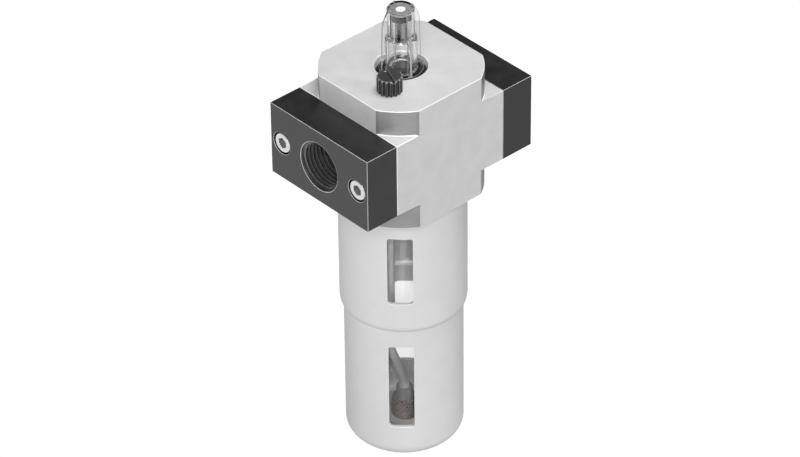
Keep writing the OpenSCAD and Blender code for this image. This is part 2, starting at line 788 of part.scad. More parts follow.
module bowl_seal() {
    color([0.08, 0.08, 0.08]) translate([0, 0, flange_top])
        pressed_ring(rim_r + run_gap + bowl_seal_r, bowl_seal_r, 2 * bowl_seal_r - 2 * seal_squeeze);
}

module slip_ring() {
    color([0.9, 0.9, 0.88]) translate([0, 0, neck_top]) ring(neck_r, neck_in_r + run_gap, slip_h);
}

// The soft shoulder, from the crease out to the upper wall
function shoulder(r_low, r_up, z) = [for (i = [0 : arc_steps]) let (a = 90 * i / arc_steps)
    [r_low + (r_up - r_low) * sin(a), z + shoulder_h * (1 - cos(a))]];

function reversed(list) = [for (i = [len(list) - 1 : -1 : 0]) list[i]];

// Outline of one window, with rounded corners
module window_outline(w, h) {
    in_w = w - 2 * window_round;
    in_h = h - 2 * window_round;
    square([in_w, h], center = true);
    square([w, in_h], center = true);
    for (x = [-1, 1]) for (y = [-1, 1]) translate([x * in_w / 2, y * in_h / 2]) circle(r = window_round);
}

// One window cut through both sides of the guard
module window_cut(z, h) {
    translate([0, 0, z + h / 2]) rotate([0, 0, window_turn + 90]) rotate([90, 0, 0])
        linear_extrude(2 * guard_r + 2 * over, center = true) window_outline(window_w, h);
}

module bowl_guard() {
    in_round = foot_round - guard_wall;
    color([0.84, 0.84, 0.83]) difference() {
        rotate_extrude() polygon(concat(
            [[0, 0]],
            foot_arc([guard_low_r - foot_round, foot_round], foot_round),
            shoulder(guard_low_r, guard_r, crease_z),
            [
                [guard_r, guard_top], [neck_r, guard_top], [neck_r, neck_top], [neck_in_r, neck_top],
                [neck_in_r, neck_root], [guard_in_r, neck_root]
            ],
            reversed(shoulder(guard_low_in_r, guard_in_r, crease_z)),
            foot_arc_back([guard_low_in_r - in_round, guard_wall + in_round], in_round),
            [[0, guard_wall]]
        ));
        window_cut(upper_window_z, upper_window_h);
        window_cut(lower_window_z, lower_window_h);
    }
}

housing();
inlet_plate();
outlet_plate();
inlet_plate_screws();
outlet_plate_screws();
inlet_plate_seal();
outlet_plate_seal();
flow_insert();
damper_flap();
flap_retainer();
drip_jet();
sight_dome();
dome_seal();
drip_sleeve();
drip_sleeve_seal();
drip_nozzle();
metering_knob();
metering_needle();
metering_seal();
riser_tube();
foot_valve();
riser_ball();
strainer();
valve_cage();
valve_ball();
valve_spring();
bowl();
bowl_seal();
slip_ring();
bowl_guard();
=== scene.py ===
# %% [markdown]
# # An air line lubricator, dressed in Blender
# A lubricator stands in a compressed air line and lets drops of oil fall into the air that passes through it.
# The imported model already holds every piece at its real size and place. This script gives the pieces what a
# solid model lacks: soft edges with a painted highlight, screw threads, clear and metal surfaces, and a pale studio.
# Each step first says what the piece is on the real object and why it is made the way it is.

# %% The frame
import math

import bmesh
import bpy
from mathutils import Matrix, Vector


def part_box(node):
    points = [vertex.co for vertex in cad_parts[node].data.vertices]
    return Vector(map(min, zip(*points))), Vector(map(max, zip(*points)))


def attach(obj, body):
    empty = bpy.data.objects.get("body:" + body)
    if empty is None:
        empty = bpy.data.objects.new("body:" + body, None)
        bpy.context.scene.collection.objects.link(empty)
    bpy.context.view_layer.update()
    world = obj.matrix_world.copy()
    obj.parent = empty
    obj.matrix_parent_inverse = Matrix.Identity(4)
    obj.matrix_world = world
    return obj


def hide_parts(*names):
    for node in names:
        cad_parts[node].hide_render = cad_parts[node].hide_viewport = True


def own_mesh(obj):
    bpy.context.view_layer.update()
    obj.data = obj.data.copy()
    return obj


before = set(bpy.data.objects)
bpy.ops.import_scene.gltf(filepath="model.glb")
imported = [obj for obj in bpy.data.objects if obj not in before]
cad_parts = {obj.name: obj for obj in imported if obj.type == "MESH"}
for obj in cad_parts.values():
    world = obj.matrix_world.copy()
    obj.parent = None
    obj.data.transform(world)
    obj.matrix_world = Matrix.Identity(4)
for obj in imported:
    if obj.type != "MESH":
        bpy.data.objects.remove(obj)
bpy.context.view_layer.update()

MM = 0.001
scene = bpy.context.scene
scene.view_settings.view_transform = "Standard"

# %% [markdown]
# ## The camera
# A catalogue picture is taken with a long lens from well away, so that upright edges stay nearly upright. The
# camera here looks at the axis of the two ports. Its place was fitted to corners of the housing and the plates,
# and the picture is 800 pixels wide, so a focal length in pixels becomes a lens in millimetres by the sensor.

# %% The camera
CAMERA_AZIMUTH = math.radians(-42.04)
CAMERA_ELEVATION = math.radians(35.98)
CAMERA_ROLL = math.radians(-0.64)
CAMERA_DISTANCE = 1.667
AIM_RIGHT, AIM_UP = -0.68 * MM, -40.38 * MM
FOCAL_PIXELS, PICTURE_WIDTH, SENSOR_MM = 4341.3, 800, 36.0
PORT_AXIS = Vector((0, 0, (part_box("inlet_plate")[0].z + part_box("inlet_plate")[1].z) / 2))


def direction_from(azimuth, elevation):
    """The way from the object to a place at that azimuth, where 0 is in front at -Y, and that elevation."""
    flat = math.cos(elevation)
    return Vector((math.sin(azimuth) * flat, -math.cos(azimuth) * flat, math.sin(elevation)))


def make_camera():
    back = direction_from(CAMERA_AZIMUTH, CAMERA_ELEVATION)
    level = Vector((math.cos(CAMERA_AZIMUTH), math.sin(CAMERA_AZIMUTH), 0))
    upright = back.cross(level)
    right = math.cos(CAMERA_ROLL) * level + math.sin(CAMERA_ROLL) * upright
    up = math.cos(CAMERA_ROLL) * upright - math.sin(CAMERA_ROLL) * level
    data = bpy.data.cameras.new("catalogue_camera")
    data.sensor_width = SENSOR_MM
    data.lens = FOCAL_PIXELS / PICTURE_WIDTH * SENSOR_MM
    camera = bpy.data.objects.new("catalogue_camera", data)
    scene.collection.objects.link(camera)
    place = PORT_AXIS + back * CAMERA_DISTANCE + right * AIM_RIGHT + up * AIM_UP
    camera.matrix_world = Matrix.Translation(place) @ Matrix((right, up, back)).transposed().to_4x4()
    scene.camera = camera
    print("lens:", round(data.lens, 1), "mm, camera at", [round(v, 3) for v in place])


make_camera()

# %% [markdown]
# ## Node trees written as sums
# A material's pattern is a sum: so much of this noise, less that mask. Wires between boxes hide it, so one small
# class wraps a socket, and the usual signs on it add the Math nodes. Another class adds any node in one call: its
# settings go in first, and then the values or wires of its sockets. The same two classes write Geometry Nodes.

# %% Node trees written as sums
class Wire:
    """One socket of a node. A sign used on it adds a Math node behind it."""

    def __init__(self, sheet, socket):
        self.sheet, self.socket = sheet, socket

    def maths(self, operation, *terms):
        return self.sheet.add("ShaderNodeMath", {"operation": operation}, dict(enumerate(terms)))["Value"]

    def __add__(self, other):
        return self.maths("ADD", self, other)

    def __sub__(self, other):
        return self.maths("SUBTRACT", self, other)

    def __mul__(self, other):
        return self.maths("MULTIPLY", self, other)

    def __truediv__(self, other):
        return self.maths("DIVIDE", self, other)

    def __rsub__(self, other):
        return self.maths("SUBTRACT", other, self)

    def __neg__(self):
        return self.maths("MULTIPLY", self, -1.0)

    __radd__, __rmul__ = __add__, __mul__


class Outputs:
    """The output sockets of one node, by name or number."""

    def __init__(self, sheet, node):
        self.sheet, self.node = sheet, node

    def __getitem__(self, key):
        return Wire(self.sheet, self.node.outputs[key])


class Sheet:
    """A node tree of any kind, written as calls."""

    def __init__(self, tree):
        self.tree = tree

    def feed(self, socket, value):
        if isinstance(value, Wire):
            self.tree.links.new(value.socket, socket)
        else:
            socket.default_value = value

    def add(self, kind, settings=None, feeds=None):
        node = self.tree.nodes.new(kind)
        for name, value in (settings or {}).items():
            setattr(node, name, value)
        for key, value in (feeds or {}).items():
            self.feed(node.inputs[key], value)
        return Outputs(self, node)

    def mix(self, share, first, second):
        """A colour between two others."""
        node = self.add("ShaderNodeMix", {"data_type": "RGBA"}, {0: share, 6: first, 7: second})
        return node[2]

    def clamp(self, low, high, value):
        """0 below low, 1 above high, and straight in between."""
        feeds = {"Value": value, "From Min": low, "From Max": high}
        return self.add("ShaderNodeMapRange", {"clamp": True}, feeds)["Result"]


def tone(level, tint=(1.0, 1.0, 1.0)):
    """A picture's grey from 0 to 255, as the linear colour that a shader takes."""
    share = level / 255
    linear = share / 12.92 if share < 0.04045 else ((share + 0.055) / 1.055) ** 2.4
    return tuple(linear * t for t in tint) + (1.0,)


print("a mid grey of 128 is", round(tone(128)[0], 3), "in linear light")

# %% [markdown]
# ## The studio
# The object stands on a sheet of milky acrylic, as on a light table: it looks white, keeps a faint shadow, and what
# is lowered through it still shows. A wide lamp near the camera lights the front, one overhead lifts the top, and a
# weak one from the right opens that side. The world fills in, more from the front and above than from the back and
# below, so that a round side darkens towards its outline. It is white where the camera, a mirror or clear plastic
# sees it. For mirrors it dims towards the ceiling and the back, because black gloss seen from above shows the
# ceiling, and a photographer keeps that dark. The table's far left side is the brighter one in mirrors, which
# parts the two upright faces of each black plate.

# %% The studio
FRONT_FILL, BACK_FILL, LOW_FILL = 0.55, 0.06, 0.25
CEILING, BACK_WALL = 0.16, 0.35
CEILING_FROM, CEILING_TO = 0.10, 0.50
FLOOR_SIDE, FLOOR_GREY, FLOOR_GLOW, FLOOR_CLEAR = 6.0, 0.25, 0.85, 0.45
FAR_LEFT, LEFT_GLOW, THROUGH_GLOW = (-0.74, 0.67, 0.0), 1.2, 0.25
FLOOR_DROP = 0.05 * MM


def seen_white(sheet):
    """1 for rays from the camera, a mirror or clear plastic, and 0 for the light that falls on things."""
    path = sheet.add("ShaderNodeLightPath")
    seen = path["Is Camera Ray"] + path["Is Glossy Ray"] + path["Is Transmission Ray"]
    return sheet.clamp(0.0, 1.0, seen), path


def make_world():
    world = bpy.data.worlds.new("pale_studio")
    world.use_nodes = True
    world.node_tree.nodes.clear()
    sheet = Sheet(world.node_tree)
    seen, path = seen_white(sheet)
    way = sheet.add("ShaderNodeTexCoord")["Generated"]
    height = sheet.add("ShaderNodeSeparateXYZ", feeds={"Vector": way})["Z"]
    ahead = tuple(direction_from(CAMERA_AZIMUTH, 0.0))
    front = sheet.add("ShaderNodeVectorMath", {"operation": "DOT_PRODUCT"}, {0: way, 1: ahead})["Value"]
    ceiling = 1.0 - sheet.clamp(CEILING_FROM, CEILING_TO, height) * (1.0 - CEILING)
    back = BACK_WALL + sheet.clamp(-0.7, 0.1, front) * (1.0 - BACK_WALL)
    mirror = path["Is Glossy Ray"]
    shown = 1.0 - mirror + mirror * ceiling * back
    low = LOW_FILL + sheet.clamp(-0.5, 0.1, height) * (1.0 - LOW_FILL)
    fill = (BACK_FILL + sheet.clamp(-0.7, 0.7, front) * (FRONT_FILL - BACK_FILL)) * low
    strength = seen * shown + (1.0 - seen) * fill
    glow = sheet.add("ShaderNodeBackground", feeds={"Color": (1, 1, 1, 1), "Strength": strength})
    sheet.add("ShaderNodeOutputWorld", feeds={"Surface": glow["Background"]})
    scene.world = world


def make_floor():
    material = bpy.data.materials.new("milky_acrylic")
    material.use_nodes = True
    material.node_tree.nodes.clear()
    sheet = Sheet(material.node_tree)
    seen, path = seen_white(sheet)
    place = sheet.add("ShaderNodeTexCoord")["Object"]
    left = sheet.add("ShaderNodeVectorMath", {"operation": "DOT_PRODUCT"}, {0: place, 1: FAR_LEFT})["Value"]
    in_mirror = path["Is Glossy Ray"] * (sheet.clamp(-0.25, 0.25, left) - 0.5) * LEFT_GLOW
    strength = seen * FLOOR_GLOW + in_mirror + path["Is Transmission Ray"] * THROUGH_GLOW
    sheet_light = sheet.add("ShaderNodeBsdfDiffuse", feeds={"Color": (FLOOR_GREY,) * 3 + (1,)})["BSDF"]
    glow = sheet.add("ShaderNodeEmission", feeds={"Color": (1, 1, 1, 1), "Strength": strength})
    lit = sheet.add("ShaderNodeAddShader", feeds={0: sheet_light, 1: glow["Emission"]})["Shader"]
    through = sheet.add("ShaderNodeBsdfTransparent")["BSDF"]
    milky = sheet.add("ShaderNodeMixShader", feeds={0: FLOOR_CLEAR, 1: lit, 2: through})["Shader"]
    sheet.add("ShaderNodeOutputMaterial", feeds={"Surface": milky})
    half = FLOOR_SIDE / 2
    corners = [(-half, -half), (half, -half), (half, half), (-half, half)]
    mesh = bpy.data.meshes.new("studio_floor")
    mesh.from_pydata([(x, y, -FLOOR_DROP) for x, y in corners], [], [(0, 1, 2, 3)])
    mesh.materials.append(material)
    floor = bpy.data.objects.new("studio_floor", mesh)
    scene.collection.objects.link(floor)


def softbox(name, azimuth, elevation, distance, side, watts):
    """A square area lamp that looks at the middle of the object."""
    data = bpy.data.lights.new(name, "AREA")
    data.shape, data.size, data.energy = "SQUARE", side, watts
    lamp = bpy.data.objects.new(name, data)
    scene.collection.objects.link(lamp)
    back = direction_from(math.radians(azimuth), math.radians(elevation))
    turn = back.to_track_quat("Z", "Y").to_matrix().to_4x4()
    lamp.matrix_world = Matrix.Translation(PORT_AXIS + back * distance) @ turn


make_world()
make_floor()
softbox("front_lamp", -46, 36, 1.6, 0.6, 17.5)
softbox("top_lamp", 40, 80, 1.2, 0.5, 8.0)
softbox("right_lamp", 30, 30, 1.6, 0.6, 4.0)

# %% [markdown]
# ## Metals
# Cast and turned metal is never one even grey. The skin of a casting is cloudy over some millimetres and grainy
# over tenths of one, and a turned face has fine rings. One function makes them all from a few numbers: two greys
# that a slow noise runs between, a roughness that follows it, and a fine grain for the bump.

# %% Metals
def new_material(name):
    material = bpy.data.materials.new(name)
    material.use_nodes = True
    material.node_tree.nodes.clear()
    return material, Sheet(material.node_tree)


def surface(sheet, settings):
    shader = sheet.add("ShaderNodeBsdfPrincipled", feeds=settings)
    sheet.add("ShaderNodeOutputMaterial", feeds={"Surface": shader["BSDF"]})


def noise(sheet, place, size, detail=2.0):
    """A soft random pattern whose lumps are about that many metres wide."""
    feeds = {"Vector": place, "Scale": 1 / size, "Detail": detail}
    return sheet.add("ShaderNodeTexNoise", feeds=feeds)["Fac"]


def bump(sheet, height, depth):
    return sheet.add("ShaderNodeBump", feeds={"Height": height, "Strength": 1.0, "Distance": depth})["Normal"]


def here(sheet):
    return sheet.add("ShaderNodeTexCoord")["Object"]


def stretched(sheet, place, scale):
    """Places scaled along each axis, so that a pattern is drawn out where the scale is small."""
    return sheet.add("ShaderNodeVectorMath", {"operation": "MULTIPLY"}, {0: place, 1: scale})["Vector"]


def metal(name, dark, light, rough, metallic, grain_size=0.3 * MM, grain_depth=0.006 * MM, cloud=7 * MM,
          draw=(1.0, 1.0, 1.0)):
    material, sheet = new_material(name)
    place = here(sheet)
    clouds = noise(sheet, place, cloud, 3.0)
    grain = noise(sheet, stretched(sheet, place, draw), grain_size)
    surface(sheet, {
        "Base Color": sheet.mix(sheet.clamp(0.3, 0.7, clouds * 0.6 + grain * 0.4), tone(dark), tone(light)),
        "Roughness": rough + (clouds - 0.5) * 0.16,
        "Metallic": metallic,
        "Normal": bump(sheet, grain, grain_depth),
    })
    return material


TURNED = (0.04, 0.04, 1.0)
cast_metal = metal("cast_metal", 202, 214, 0.52, 0.24)
turned_metal = metal("turned_metal", 140, 158, 0.42, 0.45, 0.25 * MM, 0.004 * MM, 9 * MM, TURNED)
# A dark grey for the chamber and recess under the dome: painted shade.
bored_metal = metal("bored_metal", 62, 88, 0.36, 0.5, 0.2 * MM, 0.003 * MM, 3 * MM, TURNED)
# A near-white painted highlight that the Bevels put on the rounded edges of the housing and the guard.
bright_edge = metal("bright_edge", 240, 250, 0.35, 0.25, 0.2 * MM, 0.002 * MM)
guard_metal = metal("guard_metal", 214, 223, 0.48, 0.35, 0.22 * MM, 0.004 * MM, 12 * MM)
black_plate = metal("black_plate", 20, 36, 0.44, 0.0, 0.22 * MM, 0.008 * MM, 6 * MM)
cut_thread = metal("cut_thread", 74, 106, 0.36, 0.6, 0.15 * MM, 0.003 * MM, 1.5 * MM)
# A darker grey for the screws' hex sockets: painted shade.
dark_socket = metal("dark_socket", 125, 155, 0.45, 0.5, 0.15 * MM, 0.003 * MM, 1 * MM)
# A light grey for the black plates' rounded edges: a painted highlight.
plate_edge = metal("plate_edge", 180, 205, 0.40, 0.3, 0.2 * MM, 0.002 * MM)
screw_steel = metal("screw_steel", 192, 208, 0.30, 0.85, 0.15 * MM, 0.002 * MM, 2 * MM, TURNED)
brass = metal("brass_parts", 190, 205, 0.28, 1.0, 0.2 * MM, 0.002 * MM, 3 * MM, TURNED)
ball_steel = metal("ball_steel", 215, 225, 0.12, 1.0, 0.5 * MM, 0.0002 * MM, 2 * MM)
spring_steel = metal("spring_steel", 170, 190, 0.25, 1.0, 0.1 * MM, 0.001 * MM, 1 * MM)
print("metals:", cast_metal.name, turned_metal.name, guard_metal.name, black_plate.name, "and more")

# %% [markdown]
# ## Brass and sintered bronze have a colour
# The metals above are grey. Brass is the same surface with a warm tint over its greys, and the strainer is made of
# bronze balls that were baked together, so its surface is a field of round bumps: a Voronoi pattern gives the
# distance to the nearest ball's middle, which is both its height and the dark of the pores, a painted shade.

# %% Brass and sintered bronze
BRASS_TINT, BRONZE_TINT = (1.0, 0.78, 0.42), (1.0, 0.74, 0.50)


def tint(material, colour):
    """Gives the greys of a metal a colour."""
    for node in material.node_tree.nodes:
        if node.type == "MIX":
            for end in (6, 7):
                grey = node.inputs[end].default_value
                node.inputs[end].default_value = [v * t for v, t in zip(grey, (*colour, 1))]


def sintered(name, ball_size, colour):
    material, sheet = new_material(name)
    cells = sheet.add("ShaderNodeTexVoronoi", feeds={"Vector": here(sheet), "Scale": 1 / ball_size})["Distance"]
    # Darker pores between the balls: painted shade.
    pore = sheet.clamp(0.25, 0.75, cells)
    surface(sheet, {
        "Base Color": sheet.mix(pore, tone(190, colour), tone(70, colour)),
        "Roughness": 0.35 + pore * 0.4, "Metallic": 0.9,
        "Normal": bump(sheet, 1.0 - cells, 0.12 * MM),
    })
    return material


tint(brass, BRASS_TINT)
sintered_bronze = sintered("sintered_bronze", 0.35 * MM, BRONZE_TINT)
print("warm metals:", brass.name, sintered_bronze.name)

# %% [markdown]
# ## Plastics and rubber
# Moulded plastic has a faint orange-peel skin and rubber is duller with a powdery bloom. Neither is a metal, so the
# colour sits in the base. Rubber and the knob's deep slot also get less gloss, because a black that mirrors a white
# studio turns grey, and the slot's black is darker still as painted shade. The knob's lighter greys are painted
# light: a painted highlight for its rim and flute edges, and a lighter flat top.

# %% Plastics and rubber
def moulded(name, dark, light, rough, skin=0.6 * MM, skin_depth=0.002 * MM, colour=(1.0, 1.0, 1.0),
            specular=0.5):
    material, sheet = new_material(name)
    place = here(sheet)
    patches = noise(sheet, place, 4 * MM)
    surface(sheet, {
        "Base Color": sheet.mix(patches, tone(dark, colour), tone(light, colour)),
        "Roughness": rough + (patches - 0.5) * 0.12,
        "Specular IOR Level": specular,
        "Normal": bump(sheet, noise(sheet, place, skin, 1.0), skin_depth),
    })
    return material


seal_rubber = moulded("seal_rubber", 22, 34, 0.62, 0.2 * MM, 0.004 * MM, specular=0.2)
cream_plastic = moulded("cream_plastic", 205, 216, 0.42, colour=(1.0, 0.97, 0.86))
white_plastic = moulded("white_plastic", 243, 250, 0.35)
black_knob = moulded("black_knob", 12, 18, 0.34, specular=0.35)
# The knob's rim and flute edges, its flat top and its slot: painted highlight, painted light and painted shade.
knob_edge = moulded("knob_edge", 112, 140, 0.34)
knob_top = moulded("knob_top", 38, 54, 0.50)
slot_black = moulded("slot_black", 5, 9, 0.80, specular=0.04)
riser_plastic = moulded("riser_plastic", 140, 156, 0.30)
grey_plastic = moulded("grey_plastic", 84, 98, 0.40)
slip_plastic = moulded("slip_plastic", 220, 230, 0.45)
print("plastics:", white_plastic.name, black_knob.name, riser_plastic.name, "rubber:", seal_rubber.name)

# %% [markdown]
# ## Clear plastic and the plated sleeve
# The dome and the bowl are clear polycarbonate. Light reaches what is inside them through two curved walls, which
# a path tracer finds slowly, so shadow rays pass straight through a tinted transparent shader instead. The sleeve
# in the dome is a plated tube, and the light and dark streaks along its length are painted reflections, which a
# noise gives when its places are squeezed flat along the axis.

# %% Clear plastic and the plated sleeve
def clear(name, level, rough, ior=1.49):
    material, sheet = new_material(name)
    haze = noise(sheet, here(sheet), 5 * MM)
    glass = sheet.add("ShaderNodeBsdfPrincipled", feeds={
        "Base Color": tone(level), "Roughness": rough + haze * 0.03, "IOR": ior, "Transmission Weight": 1.0,
    })
    shadow = sheet.add("ShaderNodeLightPath")["Is Shadow Ray"]
    through = sheet.add("ShaderNodeBsdfTransparent", feeds={"Color": tone(level)})
    both = sheet.add("ShaderNodeMixShader", feeds={0: shadow, 1: glass["BSDF"], 2: through["BSDF"]})
    sheet.add("ShaderNodeOutputMaterial", feeds={"Surface": both["Shader"]})
    return material


def tube_with_painted_reflections(name, streak_width, band_low, top):
    """A plated tube with painted reflections as streaks along it, a dark band from band_low up, and a pale flat end
    at the top.
    """
    material, sheet = new_material(name)
    place = here(sheet)
    height = sheet.add("ShaderNodeSeparateXYZ", feeds={"Vector": place})["Z"]
    # The streaks are painted reflections, light and dark, drawn out along the tube.
    reflection_streaks = sheet.clamp(0.42, 0.60, noise(sheet, stretched(sheet, place, (1.0, 1.0, 0.02)), streak_width, 3.0))
    band = sheet.clamp(band_low - 0.1 * MM, band_low, height)
    end = sheet.clamp(top - 0.1 * MM, top - 0.05 * MM, height)
    side = sheet.mix(band, sheet.mix(reflection_streaks, tone(26), tone(190)), tone(14))
    surface(sheet, {
        "Base Color": sheet.mix(end, side, tone(165)),
        "Roughness": 0.16 + reflection_streaks * 0.12, "Metallic": 0.9 - end * 0.5,
    })
    return material


clear_dome = clear("clear_dome", 250, 0.0)
frosted_top = clear("frosted_top", 225, 0.20)
clear_bowl = clear("clear_bowl", 255, 0.01, 1.42)
# An opaque pale grey for the dome wings' outer faces and rounded edges: a painted highlight.
worn_clear = moulded("worn_clear", 145, 170, 0.30)
SLEEVE_TOP, SEAL_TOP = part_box("drip_sleeve")[1].z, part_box("drip_sleeve_seal")[1].z
plated_sleeve = tube_with_painted_reflections("plated_sleeve", 2.6 * MM, SEAL_TOP, SLEEVE_TOP)
print("clear and plated:", clear_dome.name, clear_bowl.name, plated_sleeve.name)

# %% [markdown]
# ## From a solid to a piece
# The frame's meshes are loose triangles. A copy with its doubles merged and its flat triangles joined is a proper
# shell that a Bevel can work on. The real edges aren't knife sharp either, and the thin bright line along each
# machined edge is painted here: the small rounding takes a pale material, a painted highlight. Modifiers are
# applied at once, so that the frame gets plain meshes.

# %% From a solid to a piece
FLAT = math.radians(0.4)
SHARP = math.radians(35)


def put(name, mesh):
    piece = bpy.data.objects.new(name, mesh)
    scene.collection.objects.link(piece)
    return piece


def cad_copy(name, node):
    """The mesh of a CAD node as one joined shell, on a new object."""
    shell = bmesh.new()
    shell.from_mesh(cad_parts[node].data)
    bmesh.ops.remove_doubles(shell, verts=shell.verts, dist=0.001 * MM)
    bmesh.ops.dissolve_limit(shell, angle_limit=FLAT, verts=shell.verts, edges=shell.edges)
    mesh = bpy.data.meshes.new(name)
    shell.to_mesh(mesh)
    shell.free()
    return put(name, mesh)


def applied(piece):
    """The piece with its modifiers turned into plain mesh."""
    evaluated = piece.evaluated_get(bpy.context.evaluated_depsgraph_get())
    mesh = bpy.data.meshes.new_from_object(evaluated)
    piece.modifiers.clear()
    old, piece.data = piece.data, mesh
    bpy.data.meshes.remove(old)
    mesh.name = piece.name
    return piece


def paint(piece, *materials):
    """Gives a piece its materials. The first covers it, and a Bevel gives the last to its rounded edges, on most
    pieces a paler painted highlight.
    """
    piece.data.materials.clear()
    for material in materials:
        piece.data.materials.append(material)
    return piece


def round_edges(piece, width, segments=2, limit=SHARP):
    rounding = piece.modifiers.new("rounding", "BEVEL")
    rounding.width, rounding.segments = width, segments
    rounding.limit_method, rounding.angle_limit = "ANGLE", limit
    rounding.use_clamp_overlap = False
    # The rounded edges take the last material, which on most pieces is a paler painted highlight.
    rounding.material = len(piece.data.materials) - 1
    return applied(piece)


def shade(piece, limit=SHARP):
    """Smooth shading that stops at sharp edges, with large faces kept flat."""
    shell = bmesh.new()
    shell.from_mesh(piece.data)
    for face in shell.faces:
        face.smooth = True
    for edge in shell.edges:
        edge.smooth = len(edge.link_faces) == 2 and edge.calc_face_angle() < limit
    shell.to_mesh(piece.data)
    shell.free()
    weigh = piece.modifiers.new("weigh", "WEIGHTED_NORMAL")
    weigh.keep_sharp, weigh.weight = True, 60
    return applied(piece)


def hand_over(piece, body, slot, *nodes):
    """Puts the piece on the body that it rides on and hides the CAD nodes that it stands for. slot is not used."""
    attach(piece, body)
    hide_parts(*nodes)
    print(f"{piece.name}: {len(piece.data.polygons)} faces, for {', '.join(nodes)}")


# %% [markdown]
# ## Geometry Nodes as a workshop
# A thread is a groove that follows a helix, so it is cut as a lathe cuts it: a sharp profile is swept along a
# spiral and taken away from the blank. One tree with named inputs cuts every thread that is made here, from the
# pipe thread in the plates to the fine one under the dome. Side is 1 for a nut's thread, which goes out into the
# wall, and -1 for a bolt's, which goes in.

# %% A tree that cuts threads
class Bench:
    """A Geometry Nodes tree with named inputs, and the objects that go through it."""

    KINDS = {float: "NodeSocketFloat", int: "NodeSocketInt", Vector: "NodeSocketVector", str: "NodeSocketMaterial",
             list: "NodeSocketObject"}

    def __init__(self, name, **inputs):
        self.tree = bpy.data.node_groups.new(name, "GeometryNodeTree")
        self.sheet = Sheet(self.tree)
        make = self.tree.interface.new_socket
        make("Geometry", in_out="OUTPUT", socket_type="NodeSocketGeometry")
        make("Geometry", in_out="INPUT", socket_type="NodeSocketGeometry")
        self.keys = {}
        for title, kind in inputs.items():
            self.keys[title] = make(title, in_out="INPUT", socket_type=self.KINDS[kind]).identifier
        self.given = self.sheet.add("NodeGroupInput")

    def __getitem__(self, title):
        return self.given[title]

    def close(self, geometry, material):
        """The tree ends in real faces with a material."""
        real = self.sheet.add("GeometryNodeRealizeInstances", feeds={"Geometry": geometry})["Geometry"]
        if material is not None:
            feeds = {"Geometry": real, "Material": material}
            real = self.sheet.add("GeometryNodeSetMaterial", feeds=feeds)["Geometry"]
        self.sheet.add("NodeGroupOutput", feeds={"Geometry": real})

    def work(self, piece, **values):
        step = piece.modifiers.new(self.tree.name, "NODES")
        step.node_group = self.tree
        for title, value in values.items():
            step[self.keys[title]] = value
        return applied(piece)


FLANK = 0.55
ROOT_SHARE, CLEAR_SHARE = 0.06, 0.08
POINTS_PER_TURN = 48


def swept(sheet, path, profile):
    """A profile carried along a path with its own Y kept upright, closed at both ends. Its X looks to the axis."""
    upright = sheet.add("GeometryNodeSetCurveNormal", {"mode": "Z_UP"}, {"Curve": path})["Curve"]
    feeds = {"Curve": upright, "Profile Curve": profile, "Fill Caps": True}
    return sheet.add("GeometryNodeCurveToMesh", feeds=feeds)["Mesh"]


def vector(sheet, x=0.0, y=0.0, z=0.0):
    return sheet.add("ShaderNodeCombineXYZ", feeds={"X": x, "Y": y, "Z": z})["Vector"]


def thread_bench():
    bench = Bench("screw_thread", Radius=float, Depth=float, Pitch=float, Start=float, Length=float, Side=float,
                  Tilt=float, Place=Vector, Finish=str)
    sheet, pitch, side = bench.sheet, bench["Pitch"], bench["Side"]
    clear_by = pitch * CLEAR_SHARE
    root = pitch * ROOT_SHARE * side
    mouth = root + (bench["Depth"] + clear_by) * FLANK * side
    outer, inner = clear_by * side, -(bench["Depth"] * side)
    corners = [(outer, -mouth), (outer, mouth), (inner, root), (inner, -root)]
    profile = sheet.add("GeometryNodeCurvePrimitiveQuadrilateral", {"mode": "POINTS"})
    points = [s for s in profile.node.inputs if s.name.startswith("Point")]
    for socket, (across, along) in zip(points, corners):
        sheet.feed(socket, vector(sheet, across, along))
    path = sheet.add("GeometryNodeCurveSpiral", feeds={
        "Resolution": POINTS_PER_TURN, "Rotations": bench["Length"] / pitch, "Start Radius": bench["Radius"],
        "End Radius": bench["Radius"], "Height": bench["Length"],
    })["Curve"]
    tool = sheet.add("GeometryNodeSetMaterial", feeds={
        "Geometry": swept(sheet, path, profile["Curve"]), "Material": bench["Finish"],
    })["Geometry"]
    lifted = sheet.add("GeometryNodeTransform", feeds={
        "Geometry": tool, "Translation": vector(sheet, z=bench["Start"]),
    })["Geometry"]
    turned = sheet.add("GeometryNodeTransform", feeds={
        "Geometry": lifted, "Rotation": vector(sheet, y=bench["Tilt"]), "Translation": bench["Place"],
    })["Geometry"]
    cut = sheet.add("GeometryNodeMeshBoolean", {"operation": "DIFFERENCE", "solver": "EXACT"},
                    {"Mesh 1": bench["Geometry"], "Mesh 2": turned})["Mesh"]
    bench.close(cut, None)
    return bench


screw_thread = thread_bench()
print("thread inputs:", list(screw_thread.keys))

# %% [markdown]
# ## The housing
# The housing is one die casting with a square middle band. Above and below the band its corners are turned away
# on a lathe, and the turned faces have fine rings and a darker shine than the blasted skin. The solid is right as
# it is, so the piece is a copy of it with rounded edges, which carry a pale painted highlight. The turned faces are
# found by their distance from the axis. So are those of the bored chamber under the dome and the floor of the
# recess around it, which get a dark grey as painted shade.

# %% The housing
EDGE_ROUNDING = 0.30 * MM
HOUSING_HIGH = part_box("housing")[1]
TURNED_RADIUS = 31.8 * MM
TURNED_SPREAD = 0.15 * MM
RECESS_RADIUS, BORE_RADIUS, CHAMBER_LOW = 10.4 * MM, 8.6 * MM, 156 * MM
LEVEL, UPRIGHT = 0.9, 0.1


